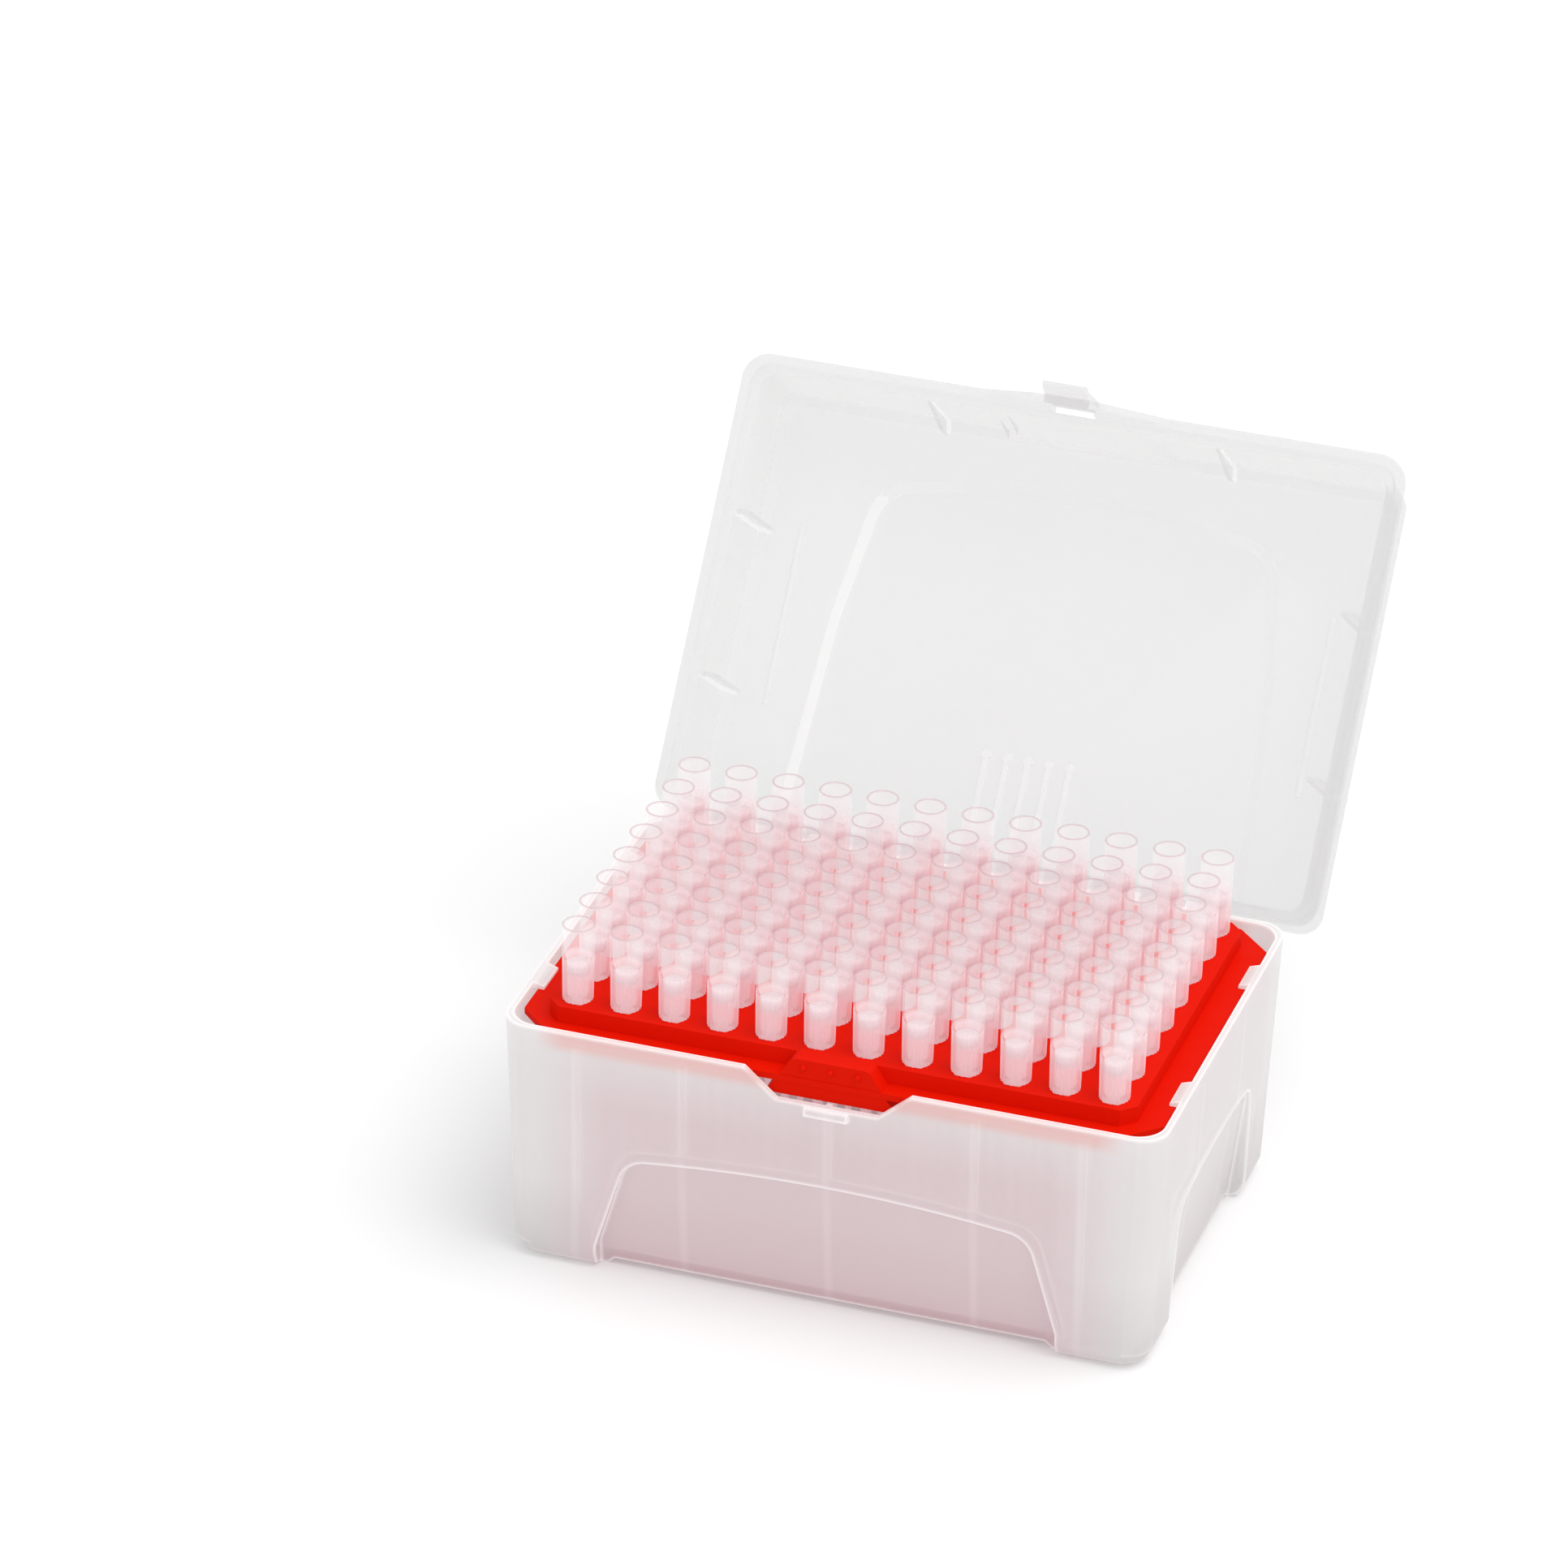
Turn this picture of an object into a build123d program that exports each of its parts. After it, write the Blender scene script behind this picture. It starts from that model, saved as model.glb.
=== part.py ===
from build123d import *
import math
import os

# Box of 96 filter tips: a base box, a clipped-in tip tray, 96 tips with filters and a hinged lid.
# Millimetres, +Z up, +Y to the hinge side. Modelled about the middle of the standing feet, then moved
# so that the origin lies under the middle of the whole open box.
os.makedirs("parts", exist_ok=True)

# ---- tip grid -----------------------------------------------------------------------------------
pitch = 9.0                 # spacing of the tips, both ways
columns, rows = 12, 8       # tips along X and along Y

# ---- shared wall and clearances -----------------------------------------------------------------
wall = 1.2                  # moulded wall of base and lid
draft = 2.0                 # draft of the base walls, degrees
tray_play = 0.7             # gap between the tray flange and the base wall
skirt_play = 0.8            # gap between the lid skirt and the base rim
seat_gap = 0.05             # gap left under the lid seat when shut, and at the open stop
pin_fit = 0.05              # radial clearance of the hinge pins
side_gap = 0.3              # side clearance of the hinge knuckles

# ---- base ---------------------------------------------------------------------------------------
base_len, base_wid = 122.0, 82.4    # outside at the rim
rim_z = 48.4                        # rim height above the feet
corner_r = 5.0
foot_round = 3.2                    # rounding of the lower outside edge
foot_x, foot_y = 41.4, 24.5         # where the feet begin, from the centre
foot_h = 1.3                        # how far the feet stand below the floor
floor_t = 1.3
recess_in = 3.2                     # depth of the arched recesses at their foot
recess_lip = 0.7                    # depth of the arched recesses at their crown
front_arch = dict(half=42.8, shoulder=37.2, shoulder_z=23.9, crown_z=26.4)
side_arch = dict(half=24.5, shoulder=22.9, shoulder_z=25.2, crown_z=26.9)
arch_round = 5.5                    # rounding of the shoulders of the recesses
notch_top, notch_low, notch_z = 15.4, 9.3, 43.0      # finger notch in the front rim
rib_t, rib_out = 0.9, 1.5                            # inner ribs that carry the tray
front_ribs = (-46.7, -27.0, 0.0, 27.0, 46.7)
side_ribs = (-13.2, 13.2)
clip_y, clip_w, clip_out = 22.0, 7.5, 1.8            # snap clips that hold the tray flange
catch_half, catch_out = 4.0, 0.85                    # latch catch under the notch
catch_top, catch_low = 42.6, 41.1

# ---- tray ---------------------------------------------------------------------------------------
deck_z, deck_t = 50.3, 1.4          # top of the deck the tips stand on
deck_past_x, deck_past_y = 4.7, 4.0  # how far the deck runs on past the outer tips
flange_z, flange_t = 47.1, 1.2
flange_chamfer = 6.5
deck_chamfer = 2.5
grip_half, grip_foot = 7.0, 12.0    # finger grip at the front of the tray
grip_rise, grip_reach, grip_low = 0.5, 3.6, 43.3

# ---- tips and filters ---------------------------------------------------------------------------
tip_sides = 6                       # flat sides that stand for each round, equal in area
tip_above = 15.1                    # how far the tips stand above the deck
tip_rim_d, tip_seat_d = 6.0, 5.4    # barrel at the rim and at the seat on the tray
tip_bore_d, bore_low_d = 5.15, 4.3  # bore at the rim and at the filter seat
fin_d, stem_d = 4.65, 2.67          # across the fins and across the stem between them
fin_h, fin_t = 5.7, 0.5
fin_full = 2.3                      # height over which the fins keep their full width
end_d = 0.9                         # dispensing end
tip_len = 48.7
hole_d = 5.0                        # holes in the tray
filter_top, filter_t = 7.8, 1.93    # depth of the filter below the rim, thickness

# ---- lid, in its shut position ------------------------------------------------------------------
skirt_over = 2.0                    # how far the skirt reaches down past the base rim
skirt_h = 3.0
skirt_out = 2.5                     # skirt outside, past the base rim
skirt_t = skirt_out - skirt_play
seat_in = 0.7                       # how far the lid wall stands in from the base rim
rear_out = 1.8                      # how much further out the rear wall of the lid stands
lid_clear = 1.2                     # from the tips' rims to the inside of the top panel
lid_draft_in = 0.6                  # how much the lid narrows to the panel, each side
lid_round = 1.6
arch_rise = 0.9                     # arched field that stands up from the panel
arch_rear, arch_middle, arch_corner = 45.5, 43.0, 39.2      # half widths at the rear, middle and corner
arch_corner_y, arch_crown_y, arch_corner_r = -26.2, -30.7, 9.0
arch_bevel = 1.8
bar_pitch, bar_w, bar_h = 4.05, 0.9, 0.5
bar_y0, bar_y1 = 20.5, 35.5
strip_x, strip_y0, strip_y1 = 51.6, -15.7, 18.5
gusset_y = (-13.7, 17.4)            # locating ribs on the side walls
gusset_x, gusset_t, gusset_low = 56.8, 0.9, 47.6
front_gusset_x = 27.8
thumb_half, thumb_in, thumb_z = 14.8, 1.6, 55.0      # thumb recess in the front wall
apron_top, apron_low, apron_z = 17.4, 6.8, 41.5
latch_half, latch_face, latch_t = 4.2, 1.6, 1.1      # latch tab: half width, stand-off, thickness
latch_low, hook_top, hook_low = 36.4, 40.8, 39.2
hook_gap = 0.15                     # hook tip clear of the catch, as the tab isn't flexed

# ---- hinge --------------------------------------------------------------------------------------
open_angle = 126.7                  # lid open, from shut
hinge_back = 4.5                    # axis behind the base rim
hinge_drop = 3.6                    # axis below the base rim
knuckle_r, pin_r = 2.1, 1.2
hinge_x = (-36.0, 36.0)
knuckle_w, ear_w = 8.0, 2.8
heel_from, heel_to = 1.9, 4.1       # open stop: where the skirt rests on the ear

half_x, half_y = base_len / 2, base_wid / 2
deck_len = pitch * (columns - 1) + 2 * deck_past_x
deck_wid = pitch * (rows - 1) + 2 * deck_past_y
axis_y, axis_z = half_y + hinge_back, rim_z - hinge_drop
tip_rim_z = deck_z + tip_above
filter_z = tip_rim_z - filter_top
lid_in_z = tip_rim_z + lid_clear
lid_z = rim_z - skirt_over
seat_z = rim_z + seat_gap
skirt_x, skirt_y = half_x + skirt_out, half_y + skirt_out
lid_x, lid_y = half_x - seat_in, half_y - seat_in


def rounded_loft(*sections):
    """Ruled solid through rounded rectangles given as (half length, front, rear, radius, z)."""
    faces = [Pos(0, (rear - front) / 2, z) * RectangleRounded(2 * x, front + rear, r)
             for x, front, rear, r, z in sections]
    return loft(faces, ruled=True)


def plate(points, plane, thickness):
    """Flat-sided plate, centred on its plane."""
    return extrude(plane * make_face(Polyline(*points, close=True)), thickness / 2, both=True)


def arch_face(half, shoulder, shoulder_z, crown_z):
    """Arch with straight flanks, rounded shoulders and a shallow crown, standing on its base line."""
    left, right = (-shoulder, shoulder_z), (shoulder, shoulder_z)
    outline = Polyline(left, (-half, 5.0), (-half, -2.0), (half, -2.0), (half, 5.0), right)
    crown = ThreePointArc(right, (0, crown_z), left)
    face = make_face(Wire([*outline.edges(), crown.edge()]))
    corners = [v for v in face.vertices() if v.Y > 10]
    return fillet(corners, arch_round)


def arch_recess(arch, reach, grow):
    """Wedge under an arch: shallow at the crown, deep at the foot. It looks along +Y from -reach."""
    z1 = arch["crown_z"]
    lean = math.tan(math.radians(draft))
    back = [(-reach - 5, -3), (-reach - 5, z1 + 4)]
    deepen = (recess_in - recess_lip) / z1 + lean
    crown_y = -reach + recess_lip + lean * (rim_z - z1) + grow
    front = [(crown_y - 4 * deepen, z1 + 4), (crown_y + (z1 + 3) * deepen, -3)]
    wedge = plate(back + front, Plane.YZ, 3 * arch["half"])
    wide = {k: v + grow for k, v in arch.items()}
    prism = extrude(Plane.XZ * arch_face(**wide), reach + 10)
    return wedge & prism


def make_base():
    lean = math.tan(math.radians(draft))

    def outside(z, inset=0.0):
        y = half_y - lean * (rim_z - z) - inset
        return half_x - lean * (rim_z - z) - inset, y, y, corner_r, z

    body = rounded_loft(outside(0, foot_round), outside(0.3 * foot_round, 0.3 * foot_round),
                        outside(foot_round), outside(rim_z))
    floor_z = foot_h + floor_t
    cavity = rounded_loft(outside(floor_z, wall + 1.0), outside(floor_z + 2, wall), outside(rim_z + 1, wall))
    foot_lean = 45
    body -= extrude(Rectangle(2 * foot_x, base_wid), foot_h, taper=foot_lean)
    body -= extrude(Rectangle(base_len, 2 * foot_y), foot_h, taper=foot_lean)
    for turn, arch, reach in ((0, front_arch, half_y), (180, front_arch, half_y),
                              (90, side_arch, half_x), (-90, side_arch, half_x)):
        body -= Rot(0, 0, turn) * arch_recess(arch, reach, 0.0)
        cavity -= Rot(0, 0, turn) * arch_recess(arch, reach, wall)
    shelf_z = flange_z - flange_t
    ribs = []
    for side in (-1, 1):
        inner_y, inner_x = half_y - wall - rib_out, half_x - wall - rib_out
        for x in front_ribs:
            ribs.append(Pos(x, side * (inner_y + half_y) / 2, 0)
                        * Box(rib_t, half_y - inner_y, 2 * shelf_z))
        for y in side_ribs:
            ribs.append(Pos(side * (inner_x + half_x) / 2, y, 0)
                        * Box(half_x - inner_x, rib_t, 2 * shelf_z))
    cavity -= ribs
    body -= cavity
    notch = Polyline((-notch_top, rim_z), (-notch_low, notch_z), (notch_low, notch_z), (notch_top, rim_z),
                     (notch_top, rim_z + 5), (-notch_top, rim_z + 5), close=True)
    body -= Pos(0, -half_y + 3, 0) * extrude(Plane.XZ * make_face(notch), 8)
    for side in (-1, 1):                                # snap clips over the tray flange
        inner = half_x - wall - 0.1
        clip = [(inner + 0.7, rim_z - 0.1), (inner, rim_z - 0.1), (inner - clip_out, flange_z + 0.6),
                (inner - clip_out, flange_z + 0.05), (inner + 0.7, flange_z + 0.05)]
        clip = plate(clip, Plane.XZ, clip_w)
        clip = clip if side > 0 else mirror(clip, Plane.YZ)
        body += [Pos(0, y, 0) * clip for y in (-clip_y, clip_y)]
    wall_y = -half_y + lean * (rim_z - catch_top) + 0.4
    catch_y = -half_y - catch_out + 0.2
    catch = [(wall_y, catch_top), (catch_y + 0.3, catch_top), (catch_y, catch_low + 0.4),
             (catch_y, catch_low), (wall_y, catch_low)]
    body += plate(catch, Plane.YZ, 2 * catch_half)
    for x in hinge_x:
        for side in (-1, 1):
            offset = side * (knuckle_w / 2 + side_gap + ear_w / 2)
            body += Pos(x + offset, 0, 0) * hinge_ear()
    return body


def skirt_point(reach, along):
    """Point of the open skirt face in (Y, Z): reach from the axis, then along the lid's height."""
    a = math.radians(open_angle)
    return (axis_y - reach * math.cos(a) + along * math.sin(a),
            axis_z + reach * math.sin(a) + along * math.cos(a))


def hinge_ear():
    """Ear with the pin hole, a gusset to the rear wall and the heel that stops the open lid."""
    rest = axis_y - skirt_y - seat_gap
    wall_y = half_y - 0.9
    heel = [(wall_y, lid_z - 0.5), (axis_y, lid_z - 0.5),
            skirt_point(rest, heel_from), skirt_point(rest, heel_to),
            (axis_y + 3.2, axis_z - 3.6), (wall_y, axis_z - 9.0)]
    ear = make_face(Polyline(*heel, close=True)) + Pos(axis_y, axis_z) * Circle(knuckle_r)
    ear -= Pos(axis_y, axis_z) * Circle(pin_r + pin_fit)
    return extrude(Plane.YZ * ear, ear_w / 2, both=True)


def round_corners(d):
    """Corners of the flat-sided section that has the area of a circle."""
    turn = 2 * math.pi / tip_sides
    reach = d / 2 * math.sqrt(turn / math.sin(turn))
    return [(reach * math.cos(i * turn), reach * math.sin(i * turn)) for i in range(tip_sides)]


def make_tray():
    def slab(length, width, cut, z0, z1):
        face = chamfer(Rectangle(length, width).vertices(), cut)
        return extrude(Pos(0, 0, z0) * face, z1 - z0)

    lean = math.tan(math.radians(draft))
    inside = half_x - wall - lean * (rim_z - flange_z), half_y - wall - lean * (rim_z - flange_z)
    flange_len, flange_wid = 2 * (inside[0] - tray_play), 2 * (inside[1] - tray_play)
    tray = slab(flange_len, flange_wid, flange_chamfer, flange_z - flange_t, flange_z)
    tray += slab(deck_len, deck_wid, deck_chamfer, flange_z - flange_t, deck_z)
    front = -deck_wid / 2 - grip_reach
    grip = [(-grip_foot, grip_low), (-grip_half, deck_z + grip_rise),
            (grip_half, deck_z + grip_rise), (grip_foot, grip_low)]
    grip_face = fillet(make_face(Polyline(*grip, close=True)).vertices().group_by(Axis.Y)[-1], 1.6)
    tray += Pos(0, front + grip_reach + 0.6, 0) * extrude(Plane.XZ * grip_face, grip_reach + 0.6)
    tray -= slab(deck_len - 2 * wall, deck_wid - 2 * wall, deck_chamfer, 0, deck_z - deck_t)
    shelf_z = flange_z - flange_t
    hollow = make_face(Polyline((-grip_foot + 1.4, 0), (-grip_half + 0.6, shelf_z),
                                (grip_half - 0.6, shelf_z), (grip_foot - 1.4, 0), close=True))
    tray -= Pos(0, front + grip_reach + 1, 0) * extrude(Plane.XZ * hollow, grip_reach - wall + 1)
    hole = frustum(hole_d, hole_d, deck_z - 2 * deck_t, deck_z + deck_t)
    return tray - [place * hole for place in GridLocations(pitch, pitch, columns, rows)]


def frustum(d0, d1, z0, z1):
    """Tapered solid with flat sides between two diameters."""
    low, high = [[(x, y, z) for x, y in round_corners(d)] for d, z in ((d0, z0), (d1, z1))]
    sides = [(low[i - 1], low[i], high[i], high[i - 1]) for i in range(tip_sides)]
    return Solid(Shell([make_face(Polyline(*loop, close=True)).face() for loop in (*sides, low, high)]))


def make_tip():
    barrel = frustum(tip_seat_d, tip_rim_d, deck_z, tip_rim_z)
    fin_z, root_z = deck_z - fin_h, deck_z + fin_t          # the fins root a little way up the barrel
    root = stem_d / 2 - fin_t / 2
    fin = [(-root, fin_z), (-fin_d / 2, deck_z - fin_full), (-fin_d / 2, root_z),
           (fin_d / 2, root_z), (fin_d / 2, deck_z - fin_full), (root, fin_z)]
    stem = frustum(end_d, stem_d, tip_rim_z - tip_len, root_z)
    tip = barrel + stem + plate(fin, Plane.XZ, fin_t) + plate(fin, Plane.YZ, fin_t)
    return tip - frustum(bore_low_d, tip_bore_d, filter_z - filter_t, tip_rim_z)


def make_filter():
    grow = (tip_bore_d - bore_low_d) * filter_t / (filter_top + filter_t)
    return frustum(bore_low_d, bore_low_d + grow, filter_z - filter_t, filter_z)


def column_of(solid, x):
    """Group of equal solids, one to each row of the column at x."""
    return Compound(children=[Pos(x, y, 0) * solid for y in row_y])


def lid_arch(grow):
    """Arched field of the top panel, open to the hinge side."""
    corner_x, corner_y = arch_corner + grow, arch_corner_y - grow
    rear_y = lid_y + rear_out - wall - lid_round
    legs = Polyline((-corner_x, corner_y), (-arch_middle - grow, 0), (-arch_rear - grow, rear_y),
                    (arch_rear + grow, rear_y), (arch_middle + grow, 0), (corner_x, corner_y))
    crown = ThreePointArc((corner_x, corner_y), (0, arch_crown_y - grow), (-corner_x, corner_y))
    face = make_face(Wire([*legs.edges(), crown.edge()]))
    return fillet([v for v in face.vertices() if v.Y < -1], arch_corner_r + grow)


def make_lid_shut():
    top = lid_in_z + wall

    def ring(out, narrow, radius, z):
        """Section of the lid wall: how far outside its inner face, how far drawn in, and its height."""
        return lid_x + out - narrow, lid_y + out - narrow, lid_y + rear_out + out, radius, z

    def field(z, rise):
        return loft([Pos(0, 0, z) * lid_arch(0.0), Pos(0, 0, z + rise) * lid_arch(-arch_bevel)], ruled=True)

    skirt_in_x, skirt_in_y = skirt_x - skirt_t, skirt_y - skirt_t
    skirt = rounded_loft((skirt_x, skirt_y, skirt_y, corner_r, lid_z),
                         (skirt_x, skirt_y, skirt_y, corner_r, lid_z + skirt_h))
    shell = rounded_loft(ring(wall, 0, corner_r - 1, lid_z + 1),
                         ring(wall, lid_draft_in, corner_r - 1, top - lid_round),
                         ring(wall - 0.3 * lid_round, lid_draft_in, corner_r - 1, top - 0.3 * lid_round),
                         ring(wall - lid_round, lid_draft_in, corner_r - 1.5, top))
    inside = rounded_loft((skirt_in_x, skirt_in_y, skirt_in_y, corner_r - 1, lid_z - 1),
                          (skirt_in_x, skirt_in_y, skirt_in_y, corner_r - 1, seat_z))
    inside += rounded_loft(ring(0, 0, corner_r - 1.5, seat_z),
                           ring(0, lid_draft_in, corner_r - 1.5, lid_in_z - lid_round),
                           ring(-lid_round, lid_draft_in, corner_r - 2, lid_in_z))
    front = -lid_y
    thumb = [(front - 5, thumb_z), (front - wall, thumb_z), (front - wall + thumb_in + lid_draft_in, top),
             (front - wall + thumb_in + lid_draft_in, top + 3), (front - 5, top + 3)]
    cut = plate(thumb, Plane.YZ, 2 * thumb_half)
    fill = plate([(y + wall, z - 0.4 * wall) for y, z in thumb], Plane.YZ, 2 * (thumb_half + wall))
    inside -= fill
    lid = skirt + shell + field(top, arch_rise) - cut - inside
    lid -= field(lid_in_z - 0.01, arch_rise)
    lid += apron()
    slot_y0, slot_y1 = -skirt_y + 0.7, -lid_y - wall - 0.1
    lid -= (Pos(0, (slot_y0 + slot_y1) / 2, lid_z + 2)
            * Box(2 * latch_half - 0.4, slot_y1 - slot_y0, 2 * skirt_h))
    wall_x, foot_x_in = lid_x + 0.5, lid_x - seat_in - 0.5
    side_rib = plate([(wall_x, lid_in_z + 0.3), (gusset_x, lid_in_z + 0.3), (gusset_x, gusset_low),
                      (foot_x_in, gusset_low), (foot_x_in, seat_z + 0.3), (wall_x, seat_z + 0.3)],
                     Plane.XZ, gusset_t)
    front_rib = plate([(front - 0.4, seat_z + 0.6), (front + 0.5, seat_z + 0.6), (front + 3.2, lid_in_z - 5),
                       (front + 3.2, lid_in_z + 0.3), (front - 0.4, lid_in_z + 0.3)], Plane.YZ, gusset_t)
    for y in gusset_y:
        lid += Pos(0, y, 0) * side_rib
        lid += Pos(0, y, 0) * mirror(side_rib, Plane.YZ)
    lid += [Pos(x, 0, 0) * front_rib for x in (-front_gusset_x, front_gusset_x)]
    def bar(y0, y1, ceiling):
        """Raised bar along Y under a ceiling, rooted a little way into it."""
        return Pos(0, (y0 + y1) / 2, ceiling - bar_h / 2 + 0.15) * Box(bar_w, y1 - y0, bar_h + 0.3)

    head = Pos(0, bar_y0, lid_in_z + arch_rise - bar_h / 2) * Cylinder(bar_w, 1.6 * bar_h)
    long_bar, strip = bar(bar_y0, bar_y1, lid_in_z + arch_rise), bar(strip_y0, strip_y1, lid_in_z)
    lid += [Pos(i * bar_pitch, 0, 0) * piece for i in range(-2, 3) for piece in (long_bar, head)]
    lid += [Pos(x, 0, 0) * strip for x in (-strip_x, strip_x)]
    lid += [Pos(x, 0, 0) * knuckle() for x in hinge_x]
    return lid


def apron():
    """Drop in the skirt over the finger notch, with the latch tab and its hook."""
    face_y = -skirt_y
    drop = [(-apron_top, lid_z + 0.5), (-apron_top, lid_z), (-apron_low, apron_z), (apron_low, apron_z),
            (apron_top, lid_z), (apron_top, lid_z + 0.5)]
    piece = Pos(0, face_y + wall, 0) * extrude(Plane.XZ * make_face(Polyline(*drop, close=True)), wall)
    out = face_y - latch_face + 0.5
    back = out + latch_t
    hook_y = -half_y - catch_out + 0.2 - hook_gap
    tab = [(face_y + 0.1, lid_z + skirt_h), (out, lid_z + skirt_h - 1.2), (out, latch_low + 2.2),
           (out - 0.5, latch_low), (back - 0.9, latch_low), (back, latch_low + 2.0), (back, hook_low),
           (hook_y, hook_top - 0.5), (hook_y, hook_top), (back, hook_top), (face_y + 0.6, hook_top + 0.6),
           (face_y + 0.6, lid_z + skirt_h)]
    piece += plate(tab, Plane.YZ, 2 * latch_half)
    return piece


def knuckle():
    """Arm from the skirt to the hinge axis with a stub pin at each end."""
    arm = [(skirt_y - 0.3, lid_z + skirt_h), (skirt_y - 0.3, lid_z), (axis_y - 1.4, axis_z + 1.2),
           (axis_y + 1.2, axis_z + 1.6)]
    side = make_face(Polyline(*arm, close=True)) + Pos(axis_y, axis_z) * Circle(knuckle_r)
    body = extrude(Plane.YZ * side, knuckle_w / 2, both=True)
    pin = Plane.YZ * (Pos(axis_y, axis_z) * Circle(pin_r))
    return body + extrude(pin, knuckle_w / 2 + side_gap + ear_w, both=True)


row_y = [pitch * (i - (rows - 1) / 2) for i in range(rows)]
column_x = [pitch * (i - (columns - 1) / 2) for i in range(columns)]

axis = Axis((0, axis_y, axis_z), (1, 0, 0))
base, lid = make_base(), make_lid_shut().rotate(axis, -open_angle)
box_low, box_high = base.bounding_box().min.Y, lid.bounding_box().max.Y
to_middle = Pos(0, -(box_low + box_high) / 2, 0)
nodes = {"base": to_middle * base, "tray": to_middle * make_tray(), "lid": to_middle * lid}
tip, plug = to_middle * make_tip(), to_middle * make_filter()
for i, x in enumerate(column_x, 1):
    nodes[f"tips_column_{i:02d}"] = column_of(tip, x)
    nodes[f"filters_column_{i:02d}"] = column_of(plug, x)

for name, shape in nodes.items():
    export_step(shape, f"parts/{name}.step")
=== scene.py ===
import math

import bmesh
import bpy
from bpy.props import FloatProperty, FloatVectorProperty, IntProperty, PointerProperty
from mathutils import Matrix, Vector


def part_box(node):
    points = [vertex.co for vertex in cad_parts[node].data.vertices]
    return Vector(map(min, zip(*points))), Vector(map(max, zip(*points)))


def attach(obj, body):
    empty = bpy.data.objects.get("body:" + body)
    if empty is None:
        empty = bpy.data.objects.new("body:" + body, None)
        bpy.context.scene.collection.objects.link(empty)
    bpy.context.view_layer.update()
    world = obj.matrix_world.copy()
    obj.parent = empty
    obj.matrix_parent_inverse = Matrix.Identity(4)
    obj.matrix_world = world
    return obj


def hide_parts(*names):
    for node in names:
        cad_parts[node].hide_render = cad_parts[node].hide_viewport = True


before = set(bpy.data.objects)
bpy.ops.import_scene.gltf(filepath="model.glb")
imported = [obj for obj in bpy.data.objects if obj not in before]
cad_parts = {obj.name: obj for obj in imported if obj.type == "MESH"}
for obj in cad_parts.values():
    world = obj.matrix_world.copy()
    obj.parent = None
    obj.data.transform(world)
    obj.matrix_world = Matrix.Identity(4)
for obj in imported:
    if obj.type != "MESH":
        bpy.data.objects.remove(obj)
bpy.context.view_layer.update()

bl_info = {
    "name": "Tip box dresser",
    "version": (1, 0, 0),
    "blender": (4, 5, 0),
    "location": "View3D > Sidebar > Tip Box",
    "description": "Finishes a hinged box of filter pipette tips around its packed frame",
    "category": "Object",
}

MM = 0.001
COLUMNS = sorted(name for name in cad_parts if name.startswith("tips_column"))
PLUGS = sorted(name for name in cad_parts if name.startswith("filters_column"))

# Boxes of the frame's nodes, and the places that follow from them.
tip_low, tip_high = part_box(COLUMNS[0])
tray_low, tray_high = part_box("tray")
base_low, base_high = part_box("base")
RIM_Z = tip_high.z
GRID_Y = (tip_low.y + tip_high.y) / 2
FRONT_Y = GRID_Y - base_low.y                   # front wall of the base, from its middle

# Places on the mouldings, measured from the middle of the box.
RIB_X = (0.0, 27.0 * MM, 46.7 * MM)             # inner ribs behind the front and rear walls of the base
RIB_Y = (13.2 * MM,)                            # inner ribs behind its side walls
FOOT_X = 42.0 * MM                              # where the feet of the base begin
FIELD_X = 48.0 * MM                             # the raised field of the lid lies inside this
FIELD_TILT = (14.0, 34.0)                       # degrees, between which the slope round the field lies
BARS_X = 9.5 * MM                               # the bars on the field lie inside this
STRIP_X = 51.6 * MM                             # side strips of the lid
FRONT_LOCATOR_X = 27.8 * MM                     # locating ribs on the front wall of the lid
SIDE_LOCATOR_X = (56.0 * MM, 61.0 * MM)         # locating ribs on its side walls lie between these
STRIP_HALF = 0.6 * MM                           # half the width within which a strip or rib is found
RIB_FACE = 60 * MM * MM                         # faces of bars, strips and ribs are smaller than this

HIGHLIT = "highlit"                                 # attribute: above 0 a painted highlight and more haze, below 0 less haze, so the plastic looks thin there
ROOM_GREY = 0.72                                # brightness of the room that lights the scene
FLOOR_REACH = 6.0                               # half the side of the floor


def length(name, default_mm, text):
    """A size that is given in millimetres and kept in metres."""
    return FloatProperty(name=name, description=text, default=default_mm * MM, unit="LENGTH", min=0.0,
                         precision=5)


def colour(name, default, text):
    return FloatVectorProperty(name=name, description=text, default=default, subtype="COLOR", size=3,
                               min=0.0, max=1.0)


def amount(name, default, text):
    return FloatProperty(name=name, description=text, default=default, subtype="FACTOR", min=0.0,
                         max=1.0)


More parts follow.
